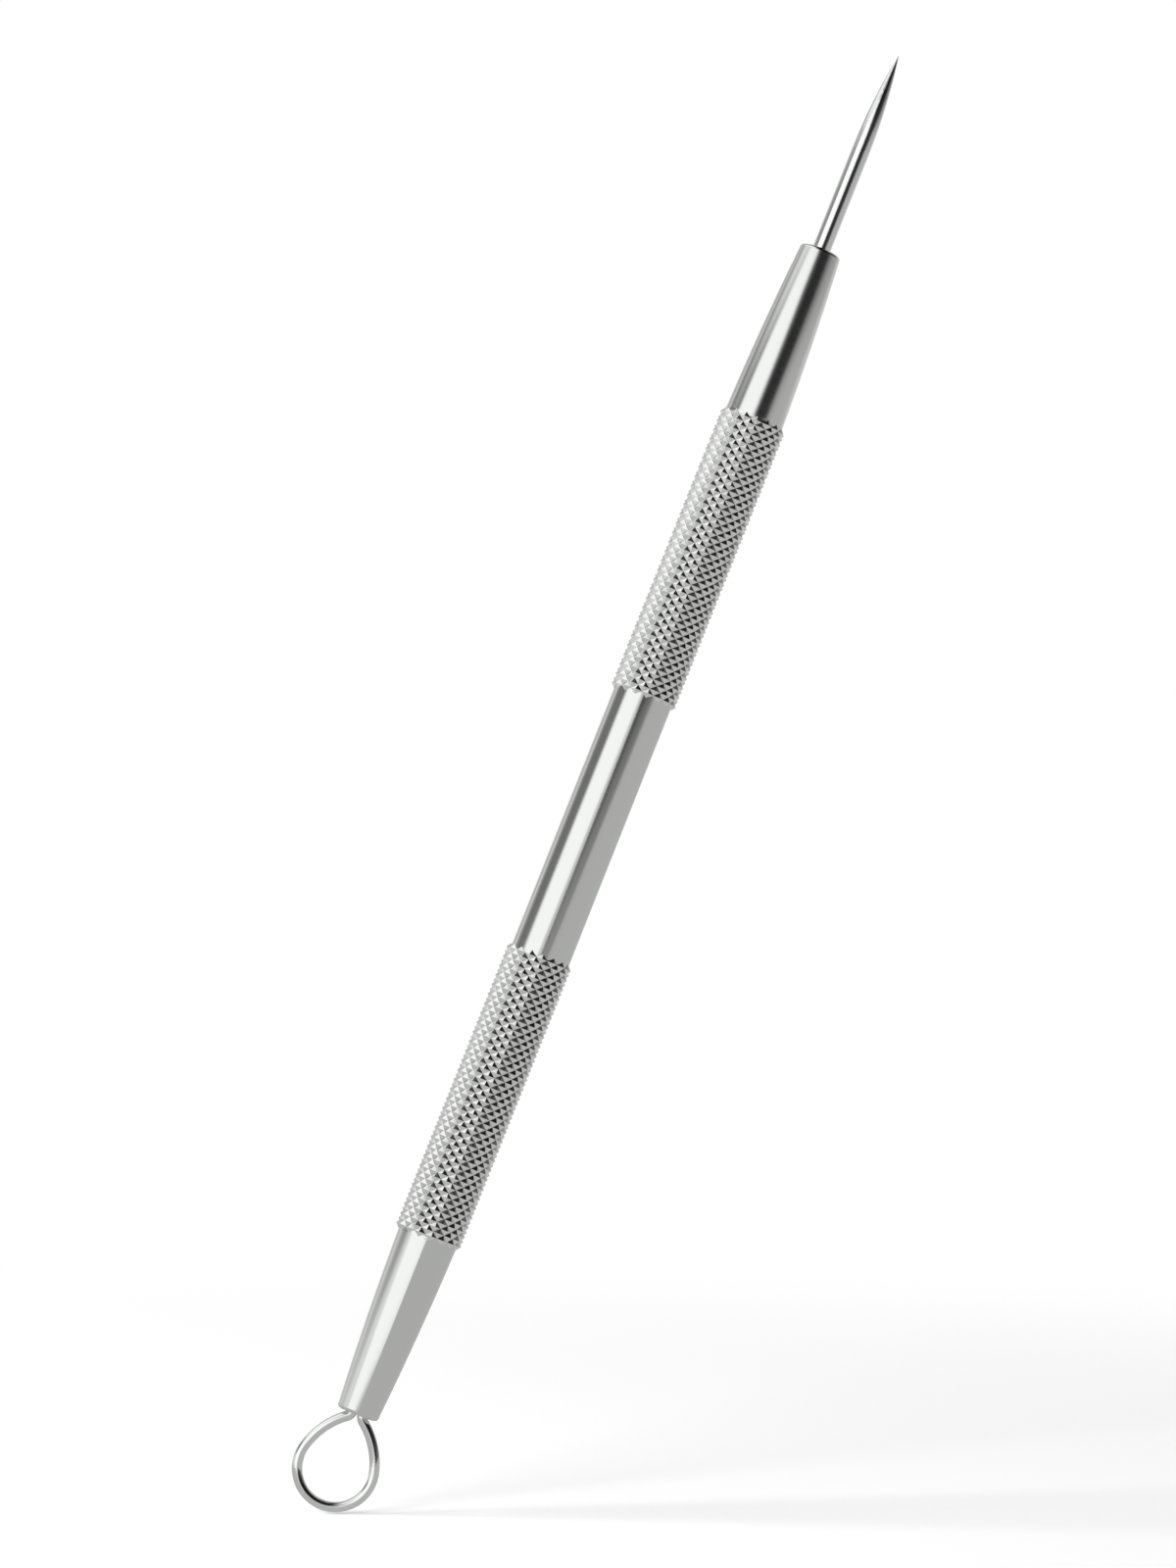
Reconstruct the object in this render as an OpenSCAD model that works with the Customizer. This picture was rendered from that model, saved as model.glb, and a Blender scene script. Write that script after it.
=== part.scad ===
// Double-ended blackhead extractor: a knurled steel bar that carries a lancet
// needle at one end and a bent wire loop at the other. Sizes are millimetres.
// The tool lies along X with the needle's tip at +X. It rests at z = 0 on the
// tips of its two knurled bands, and the loop lies level.

/* [Bar] */
// Diameter of the plain bar
bar_d = 4.7; // [4.2:0.05:6]
// Length of the plain bar between the two knurled bands
bar_len = 21.04; // [12:0.02:40]

/* [Noses] */
// Diameter of each nose at its rim
rim_d = 3.25; // [3:0.05:3.9]
// Length of the nose that carries the needle
needle_nose_len = 14.1; // [12:0.02:22]
// Length of the nose that carries the loop
loop_nose_len = 14.24; // [12:0.02:22]
// How far the side of a nose bulges beyond a straight taper
nose_bulge = 0.095; // [0.04:0.005:0.16]
// Radius of the rounded edge at each rim
rim_edge_r = 0.28; // [0.1:0.02:0.4]

/* [Knurling] */
// Pyramids in one turn round the bar
knurl_starts = 16; // [14:1:22]
// Distance along the bar from one pyramid to the next in line
knurl_pitch = 0.78; // [0.6:0.01:0.95]
// Height of the pyramids above their grooves
knurl_height = 0.29; // [0.12:0.01:0.32]
// Height of the grooves above the plain bar
knurl_rise = 0.01; // [0.005:0.005:0.05]
// Staggered rows of pyramids in each of the two bands
band_rows = 59; // [20:1:70]
// Depth below the grooves of the notches between the last pyramids of a band
notch_depth = 0.12; // [0.08:0.01:0.2]

/* [Needle] */
// Diameter of the needle
needle_d = 1.42; // [1:0.02:1.8]
// Length of the needle outside its nose
needle_len = 16.45; // [12:0.05:24]
// Length over which the needle curves in to its point
point_len = 8; // [4:0.05:10]
// Diameter of the flat left at the very tip
tip_d = 0.04; // [0.02:0.01:0.1]
// How much thinner the needle's tang is at its foot than at the rim
tang_taper = 0.2; // [0.1:0.02:0.4]

/* [Loop] */
// Diameter of the loop's wire
wire_d = 0.8; // [0.6:0.02:0.9]
// Radius of the loop's round end, to the middle of the wire
loop_r = 2.93; // [2.4:0.01:3.6]
// Radius of the loop's long sides, to the middle of the wire
side_r = 6.05; // [5.2:0.05:8]
// Angle by which the round end runs on past the loop's widest place
round_on = 15; // [5:1:25]
// Radius of the bend at the loop's neck, to the middle of the wire
neck_r = 0.6; // [0.5:0.05:0.9]
// Distance inside the rim at which the neck starts to bend
neck_inset = 0.1; // [0:0.02:0.14]
// Gap between the wire's two legs
leg_gap = 0.04; // [0.02:0.01:0.1]

/* [Brazed joints] */
// Depth of both bores, without the drill point
bore_depth = 8; // [5:0.5:10]
// Gap that the braze fills round the needle and round the legs
braze_gap = 0.05; // [0.03:0.01:0.1]
// Depth at which the braze ends below each rim
braze_recess = 0.6; // [0.55:0.05:1]
// Full angle of the drill point at the foot of each bore
drill_angle = 118; // [90:1:140]

/* [Hidden] */

steel = [0.72, 0.73, 0.72];
bright_steel = [0.82, 0.83, 0.83];
silver_braze = [0.80, 0.78, 0.70];

// How far a cutting shape runs on past what it cuts
over = 1;
// Sides of the loop's wire, and the angle between its rings in a bend
wire_sides = 20;
bend_step = 5;

bar_r = bar_d / 2;
rim_r = rim_d / 2;
needle_r = needle_d / 2;
tang_foot_r = needle_r - tang_taper / 2;
wire_r = wire_d / 2;

// Knurling: the columns of tips and of groove crossings stand side by side
columns = 2 * knurl_starts;
column_angle = 360 / columns;
groove_r = (bar_r + knurl_rise) / cos(column_angle / 2);
tip_r = groove_r + knurl_height;
row_step = knurl_pitch / 2;
band_len = (band_rows + 1) * row_step;
notch_r = groove_r - notch_depth;
// The grooves run out just under the bar's surface at both ends of a band
end_r = bar_r - knurl_rise;
// Two columns of tips touch the table, half a column either side of the middle
rest_height = tip_r * cos(column_angle / 2);

// Loop: angle at which the sides swing in to the neck, and the two bend centres
leg_offset = (wire_d + leg_gap) / 2;
side_offset = side_r - loop_r;
neck_angle = acos((leg_offset + neck_r + side_offset * cos(round_on)) / (side_r + neck_r));
side_reach = (side_r + neck_r) * sin(neck_angle) - neck_inset;
round_reach = side_reach - side_offset * sin(round_on);
loop_reach = round_reach + loop_r + wire_r;

// Bores
needle_bore_r = needle_r + braze_gap;
loop_bore_r = leg_offset + wire_r + braze_gap;

// Stations along X
total_len = loop_reach + loop_nose_len + bar_len + 2 * band_len + needle_nose_len + needle_len;
loop_rim_x = loop_reach - total_len / 2;
loop_band_x = loop_rim_x + loop_nose_len;
bar_x = loop_band_x + band_len;
needle_band_x = bar_x + bar_len;
needle_nose_x = needle_band_x + band_len;
needle_rim_x = needle_nose_x + needle_nose_len;

// Puts what is drawn along +Z onto the tool's axis, with its foot at x
module on_axis(x) translate([x, 0, rest_height]) rotate([0, 90, 0]) children();

// The same, but it runs from x towards the loop
module on_axis_back(x) translate([x, 0, rest_height]) rotate([0, -90, 0]) children();

// Half outline of a nose: a shallow arc from the bar to the rim, whose edge is
// a smaller arc that touches both the side and the end face
module nose_outline(len) {
    chord = norm([bar_r - rim_r, len]);
    arc_r = (pow(chord / 2, 2) + pow(nose_bulge, 2)) / (2 * nose_bulge);
    outward = [len, bar_r - rim_r] / chord;
    arc_c = [bar_r + rim_r, len] / 2 - outward * (arc_r - nose_bulge);
    edge_y = len - rim_edge_r;
    edge_c = [arc_c.x + sqrt(pow(arc_r - rim_edge_r, 2) - pow(edge_y - arc_c.y, 2)), edge_y];
    edge_out = (edge_c - arc_c) / norm(edge_c - arc_c);
    difference() {
        intersection() {
            translate(arc_c) circle(r = arc_r, $fn = 1440);
            square([bar_r, len]);
        }
        polygon([edge_c, edge_c + edge_out * over, [bar_r + over, len + over], [edge_c.x, len + over]]);
    }
    translate(edge_c) circle(r = rim_edge_r, $fn = 48);
}

// The bar and its two noses as they leave the lathe, before knurling
module turned_bar() {
    body_len = needle_nose_x - loop_band_x;
    on_axis(loop_band_x) cylinder(r = bar_r, h = body_len, $fn = 96);
    on_axis(needle_nose_x) rotate_extrude($fn = 96) nose_outline(needle_nose_len);
    on_axis_back(loop_band_x) rotate_extrude($fn = 96) nose_outline(loop_nose_len);
}

// Corner of the knurling in a row and a column. Tips and groove crossings take
// turns both ways. Where a tip would come in the first or last row there is the
// foot of a notch instead, so the band ends in a zigzag of whole pyramids
function knurl_corner(row, column, last) =
    let (takes_tip = (row + column) % 2 == 1,
         is_end = row == 0 || row == last,
         r = is_end ? (takes_tip ? notch_r : end_r) : takes_tip ? tip_r : groove_r,
         a = (column + 0.5) * column_angle)
    [r * cos(a), r * sin(a), row * row_step];

// Band of diamond knurling along +Z, where two crossing sets of helical grooves
// leave staggered rows of four-sided pyramids
module knurl_band() {
    last = band_rows + 1;
    function at(row, column) = row * columns + (column + columns) % columns;
    corners = [for (row = [0:last]) for (c = [0:columns - 1]) knurl_corner(row, c, last)];
    pyramids = [
        for (row = [1:band_rows]) for (c = [0:columns - 1]) if ((row + c) % 2 == 1)
            each [
                [at(row, c), at(row, c + 1), at(row - 1, c)],
                [at(row, c), at(row - 1, c), at(row, c - 1)],
                [at(row, c), at(row, c - 1), at(row + 1, c)],
                [at(row, c), at(row + 1, c), at(row, c + 1)]
            ]
    ];
    first_notches = [
        for (c = [0:columns - 1]) if ((1 + c) % 2 == 0)
            each [
                [at(1, c), at(0, c), at(0, c - 1)],
                [at(1, c), at(0, c + 1), at(0, c)]
            ]
    ];
    last_notches = [
        for (c = [0:columns - 1]) if ((band_rows + c) % 2 == 0)
            each [
                [at(band_rows, c), at(last, c - 1), at(last, c)],
                [at(band_rows, c), at(last, c), at(last, c + 1)]
            ]
    ];
    first_face = [for (c = [0:columns - 1]) at(0, c)];
    last_face = [for (c = [columns - 1:-1:0]) at(last, c)];
    polyhedron(corners, concat(pyramids, first_notches, last_notches, [first_face, last_face]));
}

// A blind bore that runs inwards along +Z from the rim, with its drill point
module bore(r) {
    translate([0, 0, -over]) cylinder(r = r, h = bore_depth + over, $fn = 64);
    translate([0, 0, bore_depth]) cylinder(r1 = r, r2 = 0, h = r / tan(drill_angle / 2), $fn = 64);
}

module needle_bore() on_axis_back(needle_rim_x) bore(needle_bore_r);

module loop_bore() on_axis(loop_rim_x) bore(loop_bore_r);

// Braze in a bore, from its recessed face down to the drill point
module braze_in_bore(r) intersection() {
    bore(r);
    translate([-r - over, -r - over, braze_recess]) cube([2 * (r + over), 2 * (r + over), 2 * bore_depth]);
}

// Both bores end inside their noses, so they are cut before the knurling goes on
module handle() {
    color(steel) {
        difference() {
            turned_bar();
            needle_bore();
            loop_bore();
        }
        on_axis(loop_band_x) knurl_band();
        on_axis(needle_band_x) knurl_band();
    }
}

// Half outline of the needle from the foot of its tang: a slight taper inside
// the bore, a straight stretch, then an arc that leaves it without a corner
module needle_outline() {
    straight_len = needle_len - point_len;
    narrowing = needle_r - tip_d / 2;
    point_r = (pow(point_len, 2) + pow(narrowing, 2)) / (2 * narrowing);
    polygon([[0, 0], [tang_foot_r, 0], [needle_r, bore_depth], [0, bore_depth]]);
    translate([0, bore_depth]) square([needle_r, straight_len]);
    translate([0, bore_depth + straight_len]) intersection() {
        translate([needle_r - point_r, 0]) circle(r = point_r, $fn = 1440);
        square([needle_r, point_len]);
    }
}

module lancet_needle() {
    color(bright_steel) on_axis(needle_rim_x - bore_depth)
        rotate_extrude($fn = 64) needle_outline();
}

// Stations along the wire in a bend, as [x, y, heading]. The bend's first
// station is left out, because what runs up to it ends there
function bend(centre, r, from, to) =
    let (steps = ceil(abs(to - from) / bend_step), ahead = to > from ? 90 : -90)
    [for (i = [1:steps]) let (a = from + (to - from) * i / steps)
        [centre.x + r * cos(a), centre.y + r * sin(a), a + ahead]];

// The wire's way from the foot of one leg, through the neck, to the round end
function loop_side() =
    let (neck_x = loop_rim_x + neck_inset,
         side_c = [loop_rim_x - side_reach, -side_offset * cos(round_on)])
    concat(
        [[loop_rim_x + bore_depth, leg_offset, 180], [neck_x, leg_offset, 180]],
        bend([neck_x, leg_offset + neck_r], neck_r, 270, 270 - neck_angle),
        bend(side_c, side_r, 90 - neck_angle, 90 - round_on)
    );

// The same way back along the other side, as its mirror image
function other_side(side) = [for (i = [len(side) - 1:-1:0]) [side[i].x, -side[i].y, 180 - side[i].z]];

// Wire of round section along level stations, closed at both ends
module wire(stations) {
    last = len(stations) - 1;
    function at(ring, side) = ring * wire_sides + side % wire_sides;
    corners = [
        for (s = stations) for (i = [0:wire_sides - 1])
            let (b = i * 360 / wire_sides)
            [s.x - wire_r * cos(b) * sin(s.z), s.y + wire_r * cos(b) * cos(s.z), wire_r * sin(b)]
    ];
    skin = [
        for (k = [0:last - 1]) for (i = [0:wire_sides - 1])
            each [
                [at(k, i), at(k, i + 1), at(k + 1, i + 1)],
                [at(k, i), at(k + 1, i + 1), at(k + 1, i)]
            ]
    ];
    first_end = [for (i = [wire_sides - 1:-1:0]) at(0, i)];
    last_end = [for (i = [0:wire_sides - 1]) at(last, i)];
    polyhedron(corners, concat(skin, [first_end, last_end]));
}

module extractor_loop() {
    side = loop_side();
    round_c = [loop_rim_x - round_reach, 0];
    round_end = bend(round_c, loop_r, 90 - round_on, 270 + round_on);
    // The mirrored side starts where the round end stops, so that station goes
    back = [for (i = [1:len(side) - 1]) other_side(side)[i]];
    color(bright_steel) translate([0, 0, rest_height]) wire(concat(side, round_end, back));
}

// The wire's two straight ends inside the bore
module legs() {
    for (y = [-leg_offset, leg_offset])
        translate([0, y, 0]) on_axis(loop_rim_x) cylinder(r = wire_r, h = bore_depth, $fn = 64);
}

module needle_braze() {
    color(silver_braze) difference() {
        on_axis_back(needle_rim_x) braze_in_bore(needle_bore_r);
        on_axis(needle_rim_x - bore_depth)
            cylinder(r1 = tang_foot_r, r2 = needle_r, h = bore_depth, $fn = 64);
    }
}

module loop_braze() {
    color(silver_braze) difference() {
        on_axis(loop_rim_x) braze_in_bore(loop_bore_r);
        legs();
    }
}

handle();
lancet_needle();
extractor_loop();
needle_braze();
loop_braze();
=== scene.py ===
"""Looks of the double-ended blackhead extractor. Metres, in the same frame as the
solids: the tool lies along X with the needle's tip at +X and the loop level."""

import math
from collections import namedtuple

import bpy
from mathutils import Matrix, Vector


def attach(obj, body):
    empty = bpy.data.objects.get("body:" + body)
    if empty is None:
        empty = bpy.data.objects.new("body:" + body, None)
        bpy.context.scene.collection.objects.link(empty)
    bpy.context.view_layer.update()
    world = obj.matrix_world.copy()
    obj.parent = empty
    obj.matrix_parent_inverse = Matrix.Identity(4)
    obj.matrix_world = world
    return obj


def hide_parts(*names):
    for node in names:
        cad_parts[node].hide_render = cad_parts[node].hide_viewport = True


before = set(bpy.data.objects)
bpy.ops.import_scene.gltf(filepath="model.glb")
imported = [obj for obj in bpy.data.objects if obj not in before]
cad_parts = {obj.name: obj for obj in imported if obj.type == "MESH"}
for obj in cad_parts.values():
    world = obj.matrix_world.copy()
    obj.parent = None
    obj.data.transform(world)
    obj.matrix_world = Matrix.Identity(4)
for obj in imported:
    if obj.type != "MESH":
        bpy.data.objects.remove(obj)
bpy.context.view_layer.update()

MM = 0.001
WHITE = (1, 1, 1, 1)

# Sizes of the solids, in millimetres
AXIS_HEIGHT = 2.6486
BAR_R = 2.35
LOOP_RIM_X = -52.4603
LOOP_END_X = -60.17
BORE_DEPTH = 8

# The loop's wire, in millimetres. Its round end goes on past a half circle by ROUND_ON
# degrees at each side
WIRE_R = 0.4
LEG_OFFSET = 0.42
NECK_INSET = 0.1
NECK_R = 0.6
SIDE_R = 6.05
LOOP_R = 2.93
ROUND_ON = 15


# Node helpers

def empty_tree(owner):
    """The cleared node tree of a material or a world."""
    owner.use_nodes = True
    owner.node_tree.nodes.clear()
    return owner.node_tree


def add(tree, kind, inputs=None, **settings):
    """A new node with its settings, and its inputs given as sockets or values."""
    made = tree.nodes.new(kind)
    for name, value in settings.items():
        setattr(made, name, value)
    for name, value in (inputs or {}).items():
        if isinstance(value, bpy.types.NodeSocket):
            tree.links.new(value, made.inputs[name])
        else:
            made.inputs[name].default_value = value
    return made


def maths(tree, operation, *values):
    """The output of a Math node on sockets or numbers."""
    return add(tree, "ShaderNodeMath", dict(enumerate(values)), operation=operation).outputs[0]


def fade(tree, value, start, end, low=0.0, high=1.0):
    """low up to start, high from end on, with a smooth step between them."""
    made = add(tree, "ShaderNodeMapRange", {"Value": value, "From Min": start, "From Max": end,
                                            "To Min": low, "To Max": high},
               interpolation_type="SMOOTHSTEP")
    return made.outputs[0]


# The sockets of a Mix node share their names, so they are found by their places: for
# each kind of data, the places of A, of B and of the result
MIX_PLACES = {"FLOAT": (2, 3, 0), "VECTOR": (4, 5, 1), "RGBA": (6, 7, 2)}


def mix(tree, factor, a, b, kind="FLOAT"):
    """a where factor is 0, b where it is 1."""
    place_a, place_b, result = MIX_PLACES[kind]
    made = add(tree, "ShaderNodeMix", {"Factor": factor, place_a: a, place_b: b}, data_type=kind)
    return made.outputs[result]


def blend(tree, factor, first, second):
    """The first shader where factor is 0, the second where it is 1."""
    return add(tree, "ShaderNodeMixShader", {0: factor, 1: first, 2: second}).outputs[0]


def glow(tree, strength):
    """A shader that gives off white light."""
    return add(tree, "ShaderNodeEmission", {"Color": WHITE, "Strength": strength}).outputs[0]


def seen_in_metal(tree, path):
    """1 for the rays that metal and glass send on, 0 for others."""
    return maths(tree, "ADD", path.outputs["Is Glossy Ray"], path.outputs["Is Transmission Ray"])


# The camera, from the lattice of the knurling in the photograph. The tool leans to the
# right, its needle tilts away and it is turned about its length, in degrees
LEAN = 21.747
TILT = 4.108
TURN = 0.615

# The camera sees the point AIM_X of the tool's axis at DISTANCE, ASIDE to the right of
# the picture's middle and ABOVE it, in millimetres
AIM_X = -1.46
DISTANCE = 393.0
ASIDE = 1.309
ABOVE = -0.638

# The photograph's scale at that distance and its long side in pixels, the camera's
# sensor in millimetres and the least distance that it sees, in metres
PIXELS_PER_MM = 13.3044
LONG_SIDE = 1600
SENSOR = 36.0
CLIP_START = 0.01


def camera_frame():
    """The rows that turn a direction of the tool's frame into the camera's."""
    lean = math.radians(LEAN)
    tilt = math.radians(TILT)
    turn = math.radians(TURN)
    along = Vector((math.sin(lean) * math.cos(tilt), math.cos(lean) * math.cos(tilt), -math.sin(tilt)))
    back = Vector((0, 0, 1))
    front = (back - along * back.dot(along)).normalized()
    across = along.cross(front)
    seen = Matrix((along, front, across)).transposed()
    own = Matrix(((1, 0, 0),
                  (0, -math.sin(turn), math.cos(turn)),
                  (0, -math.cos(turn), -math.sin(turn))))
    return seen @ own


def photo_camera(to_camera):
    """The camera where the photograph's camera was."""
    aim = Vector((AIM_X, 0, AXIS_HEIGHT))
    spot = aim - to_camera.transposed() @ Vector((ASIDE, ABOVE, -DISTANCE))
    data = bpy.data.cameras.new("camera")
    data.sensor_width = SENSOR
    data.lens = PIXELS_PER_MM * DISTANCE * SENSOR / LONG_SIDE
    data.clip_start = CLIP_START
    camera = bpy.data.objects.new("camera", data)
    bpy.context.scene.collection.objects.link(camera)
    camera.matrix_world = Matrix.Translation(spot * MM) @ to_camera.transposed().to_4x4()
    bpy.context.scene.camera = camera


to_camera = camera_frame()
image_right, image_up, towards_camera = to_camera
photo_camera(to_camera)


# The studio that the steel mirrors is a plain wall with cards and flags in front of it.
# Each one is a soft-edged oval on the sky. Its bearing is 0 at the tool's right in the
# photograph, 90 beyond the needle and 180 at its left, and its angle is counted from
# straight above the tool, all in degrees like its turn. Its half widths are parts of
# the sky's radius, and its edge fades over a part of them. Later ones cover earlier ones
Oval = namedtuple("Oval", "bearing angle turn wide high edge grey")
PLAIN_WALL = 0.53
CARDS = {
    "wall_left": Oval(bearing=165, angle=67, turn=20, wide=1.05, high=0.45, edge=0.35, grey=1.05),
    "wall_low": Oval(bearing=355, angle=147, turn=40, wide=1.20, high=0.50, edge=0.25, grey=0.70),
    "gap_left": Oval(bearing=155, angle=73, turn=30, wide=0.85, high=0.40, edge=0.25, grey=0.20),
    "flag_right": Oval(bearing=55, angle=58, turn=155, wide=0.90, high=0.35, edge=0.20, grey=0.02),
    "softbox": Oval(bearing=170, angle=32, turn=90, wide=0.30, high=0.65, edge=0.20, grey=1.25),
    "flag_top": Oval(bearing=80, angle=61, turn=35, wide=0.95, high=0.45, edge=0.25, grey=0.01),
    "edge_right": Oval(bearing=35, angle=22, turn=165, wide=1.10, high=0.13, edge=0.60, grey=0.03),
    "softbox_far": Oval(bearing=145, angle=76, turn=25, wide=0.60, high=0.30, edge=0.25, grey=1.10),
    "wall_front": Oval(bearing=225, angle=61, turn=100, wide=0.65, high=0.50, edge=0.15, grey=0.85),
    "softbox_near": Oval(bearing=185, angle=35, turn=95, wide=0.25, high=0.50, edge=0.20, grey=1.25),
    "overhead": Oval(bearing=225, angle=0, turn=85, wide=0.20, high=0.05, edge=0.40, grey=0.80),
    "flag_low": Oval(bearing=40, angle=95, turn=0, wide=0.30, high=0.30, edge=0.40, grey=0.08),
    "flag_above": Oval(bearing=85, angle=42, turn=5, wide=0.25, high=0.35, edge=0.25, grey=0.02),
}

# The white backdrop behind the tool
BACKDROP = Oval(bearing=176, angle=176, turn=0, wide=0.42, high=0.42, edge=0.15, grey=1.0)

# An oval is where an ellipsoid round its middle cuts the sky's ball. The ellipsoid is at
# least this deep, so that the sky's curve hardly trims a small oval
SHALLOWEST = 0.6


def oval(tree, direction, card):
    """How far a direction lies inside a card's oval: 1 in its middle, 0 outside it."""
    bearing = math.radians(card.bearing)
    angle = math.radians(card.angle)
    turn = math.radians(card.turn)
    middle = Vector((math.sin(angle) * math.sin(bearing),
                     -math.sin(angle) * math.cos(bearing),
                     math.cos(angle)))
    outward = Vector((math.cos(angle) * math.sin(bearing),
                      -math.cos(angle) * math.cos(bearing),
                      -math.sin(angle)))
    beside = middle.cross(outward)
    across = outward * math.cos(turn) + beside * math.sin(turn)
    along = beside * math.cos(turn) - outward * math.sin(turn)
    own = Matrix((across, along, middle)).transposed()
    deep = max(card.wide, card.high, SHALLOWEST)
    inside = add(tree, "ShaderNodeMapping",
                 {"Vector": direction, "Location": middle, "Rotation": own.to_euler(),
                  "Scale": (card.wide, card.high, deep)}, vector_type="TEXTURE")
    reach = add(tree, "ShaderNodeVectorMath", {0: inside.outputs[0]}, operation="LENGTH").outputs["Value"]
    return fade(tree, reach, 1 - card.edge, 1 + card.edge, 1.0, 0.0)


def studio():
    """The world: its cards in the steel, and white to the camera and behind the tool."""
    world = bpy.data.worlds.new("studio")
    bpy.context.scene.world = world
    tree = empty_tree(world)
    direction = add(tree, "ShaderNodeTexCoord").outputs["Generated"]
    level = PLAIN_WALL
    for card in CARDS.values():
        level = mix(tree, oval(tree, direction, card), level, card.grey)
    path = add(tree, "ShaderNodeLightPath")
    reflected = add(tree, "ShaderNodeBackground", {"Color": level, "Strength": 1.0})
    backdrop = add(tree, "ShaderNodeBackground", {"Color": WHITE, "Strength": BACKDROP.grey})
    behind = maths(tree, "MULTIPLY", seen_in_metal(tree, path), oval(tree, direction, BACKDROP))
    white = maths(tree, "MAXIMUM", path.outputs["Is Camera Ray"], behind)
    shown = blend(tree, white, reflected.outputs[0], backdrop.outputs[0])
    add(tree, "ShaderNodeOutputWorld", {"Surface": shown})


studio()


# The floor that the loop's end stands on in the photograph. Its size and the distances
# over which it turns white are in metres, and for its light a strength of 1 is white
FLOOR_SIZE = 0.9
FLOOR_PAINT = (0.8, 0.8, 0.8, 1)
FLOOR_GLOW = 0.2
FLOOR_TONE = 0.54
SHADOW_FULL = 0.07
SHADOW_GONE = 0.2
CONTACT_Y = -0.9
CONTACT = Vector((LOOP_END_X * MM, CONTACT_Y * MM, AXIS_HEIGHT * MM))


def floor_material():
    """White to the camera but for the tool's shadow, plain grey in the steel, and
    clear from below."""
    material = bpy.data.materials.new("floor")
    tree = empty_tree(material)
    geometry = add(tree, "ShaderNodeNewGeometry")
    path = add(tree, "ShaderNodeLightPath")
    lit = add(tree, "ShaderNodeBsdfDiffuse", {"Color": FLOOR_PAINT})
    shaded = add(tree, "ShaderNodeAddShader", {0: lit.outputs[0], 1: glow(tree, FLOOR_GLOW)})
    away = add(tree, "ShaderNodeVectorMath", {0: geometry.outputs["Position"], 1: CONTACT},
               operation="DISTANCE")
    far = fade(tree, away.outputs["Value"], SHADOW_FULL, SHADOW_GONE)
    seen = blend(tree, far, shaded.outputs[0], glow(tree, 1.0))
    toned = blend(tree, seen_in_metal(tree, path), seen, glow(tree, FLOOR_TONE))
    clear = add(tree, "ShaderNodeBsdfTransparent")
    shown = blend(tree, geometry.outputs["Backfacing"], toned, clear.outputs[0])
    add(tree, "ShaderNodeOutputMaterial", {"Surface": shown})
    return material


def floor():
    """A sheet under the loop's end, level in the photograph, where the tool stands up."""
    back = image_up.cross(image_right)
    half = FLOOR_SIZE / 2
    spots = [CONTACT + image_right * half * i + back * half * j
             for i, j in ((-1, -1), (1, -1), (1, 1), (-1, 1))]
    mesh = bpy.data.meshes.new("floor")
    mesh.from_pydata(spots, [], [(0, 1, 2, 3)])
    mesh.materials.append(floor_material())
    sheet = bpy.data.objects.new("floor", mesh)
    bpy.context.scene.collection.objects.link(sheet)


floor()


# The lamps. For each one, its way from the loop's end as shares right, towards the
# camera and up in the photograph, its side in metres and its power in watts
LAMP_DISTANCE = 0.6
LAMPS = {
    "lamp_left": ((-1.0, 0.0, 0.5), 0.24, 3.0),
    "lamp_front": ((-0.54, 0.84, 0.5), 0.3, 2.1),
}


def lamp(name, shares, side, power):
    """A square soft lamp that shines on the loop's end."""
    right, towards, up = shares
    direction = image_right * right + towards_camera * towards + image_up * up
    data = bpy.data.lights.new(name, "AREA")
    data.size = side
    data.energy = power
    made = bpy.data.objects.new(name, data)
    bpy.context.scene.collection.objects.link(made)
    made.location = CONTACT + direction.normalized() * LAMP_DISTANCE
    made.rotation_euler = direction.to_track_quat("Z", "Y").to_euler()
    made.visible_glossy = False


for name, (shares, side, power) in LAMPS.items():
    lamp(name, shares, side, power)


# Materials of the tool. Noise scales are per millimetre. A gloss is the least and the
# most roughness, spread over a range of the noise, and a relief is the height of the
# bumps in metres

def new_material(name):
    """A metal with its node tree, its shader and the place on the tool in millimetres."""
    material = bpy.data.materials.new(name)
    tree = empty_tree(material)
    shader = add(tree, "ShaderNodeBsdfPrincipled", {"Metallic": 1.0})
    add(tree, "ShaderNodeOutputMaterial", {"Surface": shader.outputs["BSDF"]})
    place = add(tree, "ShaderNodeTexCoord").outputs["Object"]
    scaled = add(tree, "ShaderNodeVectorMath", {0: place, "Scale": 1 / MM}, operation="SCALE")
    return material, tree, shader, scaled.outputs["Vector"]


def noise(tree, place, scale, detail, roughness=0.5):
    """A cloudy level round a half."""
    made = add(tree, "ShaderNodeTexNoise",
               {"Vector": place, "Scale": scale, "Detail": detail, "Roughness": roughness})
    return made.outputs["Fac"]


def bump(tree, shader, height, relief, normal=None):
    """Bumps as high as relief where height is 1, on the surface's normal or a given one."""
    made = add(tree, "ShaderNodeBump", {"Height": height, "Distance": relief, "Strength": 1.0})
    if normal is not None:
        tree.links.new(normal, made.inputs["Normal"])
    tree.links.new(made.outputs["Normal"], shader.inputs["Normal"])


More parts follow.
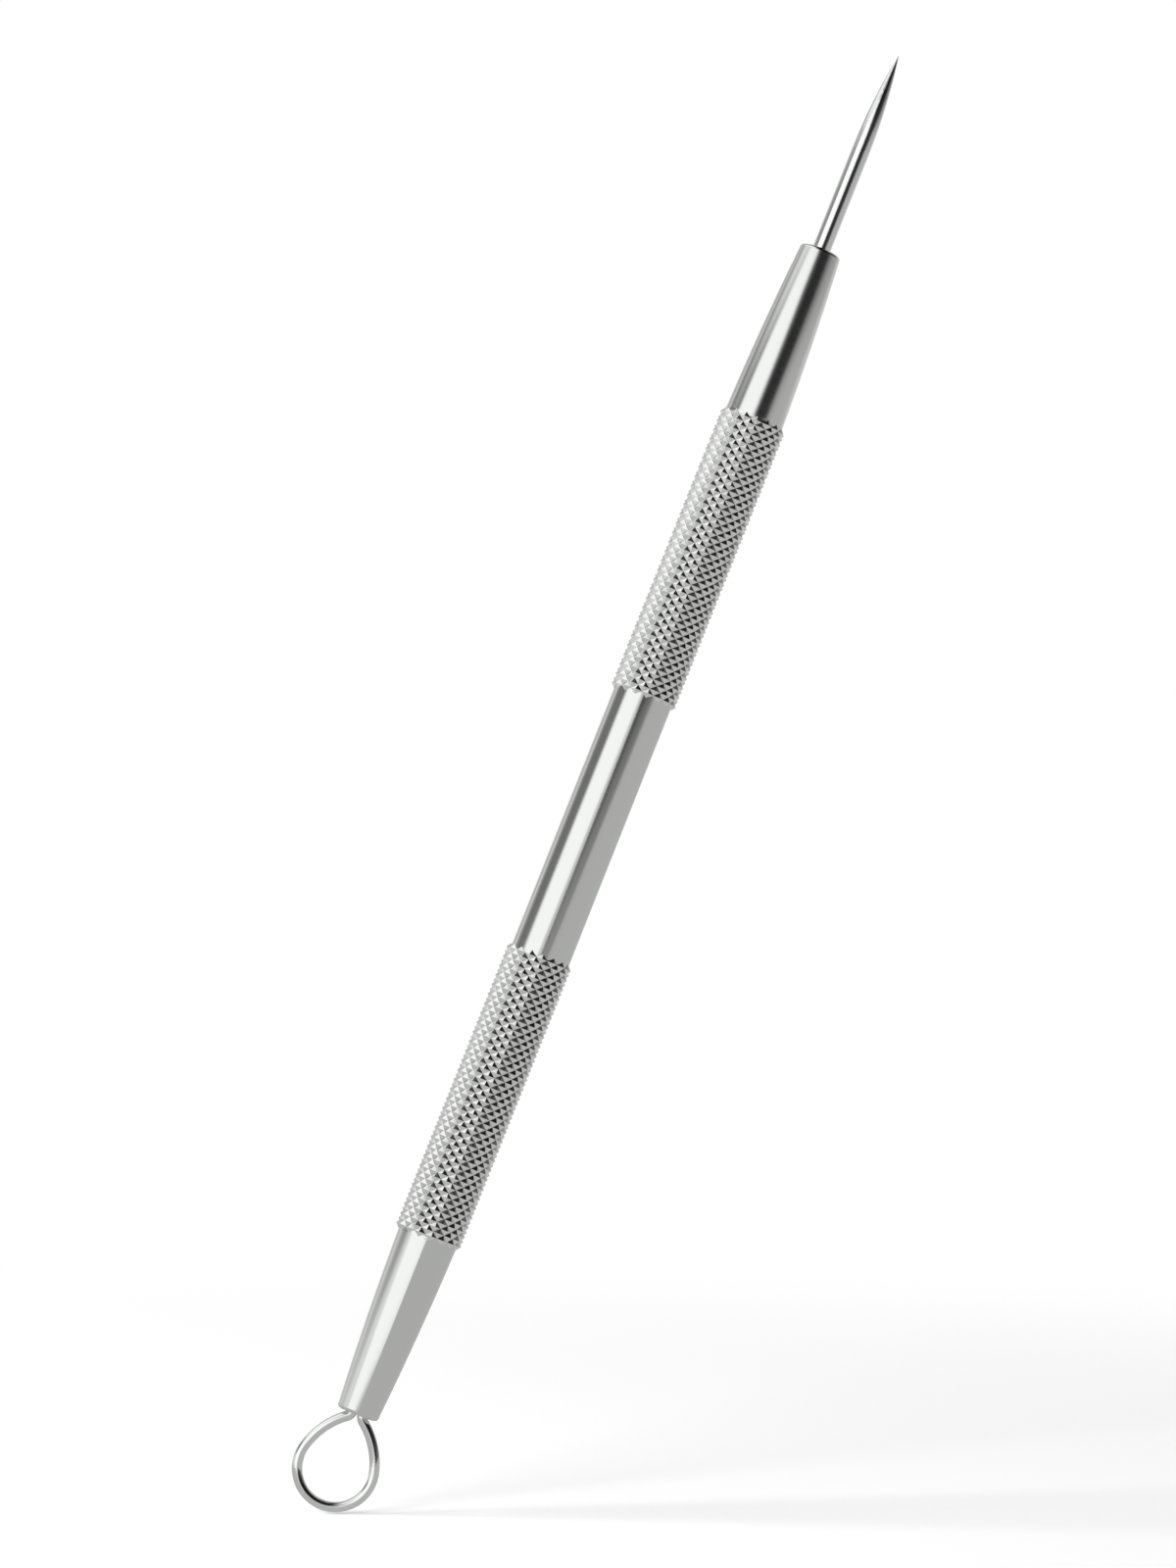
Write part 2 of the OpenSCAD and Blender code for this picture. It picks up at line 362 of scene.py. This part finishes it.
# The steel of the plain bar, and a lighter steel on the knurl that is painted light: it
# brightens the knurl's facets, whose reflections of one another render dark. The knurl's
# look begins KNURL_START millimetres over the plain bar and is full at KNURL_FULL. A fine
# grain lies on the knurl, and marks of turning run round the bar, so their noise is stretched
STEEL = (0.72, 0.73, 0.715, 1)
PAINTED_LIGHT_KNURL_STEEL = (0.83, 0.84, 0.82, 1)
KNURL_START = 0.003
KNURL_FULL = 0.02
GRAIN_SCALE = 13.0
GRAIN_DETAIL = 4.0
GRAIN_ROUGHNESS = 0.7
GRAIN_RANGE = (0.3, 0.7)
GRAIN_GLOSS = (0.04, 0.1)
TURNING_STRETCH = (14.0, 0.8, 0.8)
TURNING_DETAIL = 3.0
TURNING_RANGE = (0.2, 0.8)
TURNING_GLOSS = (0.1, 0.16)
TURNING_HEIGHT = 0.012
STEEL_RELIEF = 0.000007

# How far the knurl's facets are shaded towards the bar's round, from 0 to 1, since the
# real ones are slightly blunted
SOFTENING = 0.38


def off_axis(tree, place):
    """How far a place is from the tool's axis, and the direction away from the axis."""
    parts = add(tree, "ShaderNodeSeparateXYZ", {0: place})
    y = parts.outputs[1]
    height = maths(tree, "SUBTRACT", parts.outputs[2], AXIS_HEIGHT)
    radius = maths(tree, "SQRT", maths(tree, "ADD", maths(tree, "MULTIPLY", y, y),
                                       maths(tree, "MULTIPLY", height, height)))
    outward = add(tree, "ShaderNodeCombineXYZ", {"Y": maths(tree, "DIVIDE", y, radius),
                                                 "Z": maths(tree, "DIVIDE", height, radius)})
    return radius, outward.outputs[0]


def eased_normal(tree, knurled, outward):
    """The surface's normal, drawn towards the bar's round on the knurl."""
    share = maths(tree, "MULTIPLY", knurled, SOFTENING)
    facet = add(tree, "ShaderNodeNewGeometry").outputs["Normal"]
    eased = mix(tree, share, facet, outward, "VECTOR")
    return add(tree, "ShaderNodeVectorMath", {0: eased}, operation="NORMALIZE").outputs[0]


def satin_steel():
    """Turned and knurled stainless steel."""
    material, tree, shader, place = new_material("satin_steel")
    radius, outward = off_axis(tree, place)
    knurled = fade(tree, radius, BAR_R + KNURL_START, BAR_R + KNURL_FULL)
    grain = noise(tree, place, GRAIN_SCALE, GRAIN_DETAIL, GRAIN_ROUGHNESS)
    stretched = add(tree, "ShaderNodeVectorMath", {0: place, 1: TURNING_STRETCH}, operation="MULTIPLY")
    turning = noise(tree, stretched.outputs["Vector"], 1.0, TURNING_DETAIL)
    rough = mix(tree, knurled, fade(tree, turning, *TURNING_RANGE, *TURNING_GLOSS),
                fade(tree, grain, *GRAIN_RANGE, *GRAIN_GLOSS))
    tree.links.new(rough, shader.inputs["Roughness"])
    height = mix(tree, knurled, maths(tree, "MULTIPLY", turning, TURNING_HEIGHT), grain)
    bump(tree, shader, height, STEEL_RELIEF, eased_normal(tree, knurled, outward))
    # The knurl's lighter steel is painted light that brightens its facets
    colour = mix(tree, knurled, STEEL, PAINTED_LIGHT_KNURL_STEEL, "RGBA")
    tree.links.new(colour, shader.inputs["Base Color"])
    return material


BRIGHT_STEEL = (0.78, 0.79, 0.78, 1)
MARKS_SCALE = 6.0
MARKS_DETAIL = 3.0
MARKS_RANGE = (0.2, 0.8)
MARKS_GLOSS = (0.07, 0.12)
MARKS_RELIEF = 0.000002


def polished_steel():
    """Bright drawn steel with faint marks."""
    material, tree, shader, place = new_material("polished_steel")
    marks = noise(tree, place, MARKS_SCALE, MARKS_DETAIL)
    tree.links.new(fade(tree, marks, *MARKS_RANGE, *MARKS_GLOSS), shader.inputs["Roughness"])
    bump(tree, shader, marks, MARKS_RELIEF)
    shader.inputs["Base Color"].default_value = BRIGHT_STEEL
    return material


BRAZE = (0.78, 0.76, 0.68, 1)
SKIN_SCALE = 5.0
SKIN_DETAIL = 4.0
SKIN_RANGE = (0.3, 0.7)
SKIN_GLOSS = (0.3, 0.45)
SKIN_RELIEF = 0.00002


def silver_braze():
    """Braze as it flowed and set."""
    material, tree, shader, place = new_material("silver_braze")
    skin = noise(tree, place, SKIN_SCALE, SKIN_DETAIL)
    tree.links.new(fade(tree, skin, *SKIN_RANGE, *SKIN_GLOSS), shader.inputs["Roughness"])
    bump(tree, shader, skin, SKIN_RELIEF)
    shader.inputs["Base Color"].default_value = BRAZE
    return material


def dress(node, material):
    """Put a material on a solid."""
    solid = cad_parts[node]
    if not solid.data.materials:
        solid.data.materials.append(material)
    for slot in solid.material_slots:
        slot.material = material


bright = polished_steel()
braze = silver_braze()
dress("handle", satin_steel())
dress("lancet_needle", bright)
dress("extractor_loop", bright)
dress("needle_braze", braze)
dress("loop_braze", braze)


# The loop's wire as one smooth tube, on the way that the solid's wire takes. A bend has
# a station every BEND_STEP degrees or less
WIRE_SIDES = 32
BEND_STEP = 2.0


def bend(centre, radius, start, end):
    """Stations along a bend: place and heading, without the first."""
    steps = math.ceil(abs(end - start) / BEND_STEP)
    ahead = 90 if end > start else -90
    made = []
    for i in range(1, steps + 1):
        degrees = start + (end - start) * i / steps
        angle = math.radians(degrees)
        made.append((centre[0] + radius * math.cos(angle), centre[1] + radius * math.sin(angle),
                     degrees + ahead))
    return made


def loop_stations():
    """The wire's whole way, from the foot of one leg round to the foot of the other."""
    side_offset = SIDE_R - LOOP_R
    swing = side_offset * math.cos(math.radians(ROUND_ON))
    neck_angle = math.degrees(math.acos((LEG_OFFSET + NECK_R + swing) / (SIDE_R + NECK_R)))
    side_reach = (SIDE_R + NECK_R) * math.sin(math.radians(neck_angle)) - NECK_INSET
    round_reach = side_reach - side_offset * math.sin(math.radians(ROUND_ON))
    neck_x = LOOP_RIM_X + NECK_INSET
    side = [(LOOP_RIM_X + BORE_DEPTH, LEG_OFFSET, 180), (neck_x, LEG_OFFSET, 180)]
    side += bend((neck_x, LEG_OFFSET + NECK_R), NECK_R, 270, 270 - neck_angle)
    side += bend((LOOP_RIM_X - side_reach, -swing), SIDE_R, 90 - neck_angle, 90 - ROUND_ON)
    end = bend((LOOP_RIM_X - round_reach, 0), LOOP_R, 90 - ROUND_ON, 270 + ROUND_ON)
    back = [(x, -y, 180 - heading) for x, y, heading in reversed(side)]
    return side + end + back[1:]


def tube():
    """The wire's points and faces: a ring at every station, and a cap on either end."""
    points = []
    faces = []
    stations = loop_stations()
    for x, y, heading in stations:
        ahead = math.radians(heading)
        for i in range(WIRE_SIDES):
            angle = 2 * math.pi * i / WIRE_SIDES
            aside = WIRE_R * math.cos(angle)
            points.append(((x - aside * math.sin(ahead)) * MM,
                           (y + aside * math.cos(ahead)) * MM,
                           (AXIS_HEIGHT + WIRE_R * math.sin(angle)) * MM))
    for k in range(len(stations) - 1):
        ring = k * WIRE_SIDES
        next_ring = ring + WIRE_SIDES
        for i in range(WIRE_SIDES):
            j = (i + 1) % WIRE_SIDES
            faces.append((ring + i, ring + j, next_ring + j, next_ring + i))
    faces.append(tuple(reversed(range(WIRE_SIDES))))
    faces.append(tuple(range(len(points) - WIRE_SIDES, len(points))))
    return points, faces


def smooth_loop():
    """The tube, in place of the solid wire."""
    points, faces = tube()
    mesh = bpy.data.meshes.new("loop_wire")
    mesh.from_pydata(points, [], faces)
    for face in mesh.polygons:
        face.use_smooth = len(face.vertices) == 4
    mesh.update()
    mesh.materials.append(bright)
    piece = bpy.data.objects.new("loop_wire", mesh)
    bpy.context.scene.collection.objects.link(piece)
    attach(piece, "root")
    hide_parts("extractor_loop")


smooth_loop()

bpy.context.scene.view_settings.view_transform = "Standard"
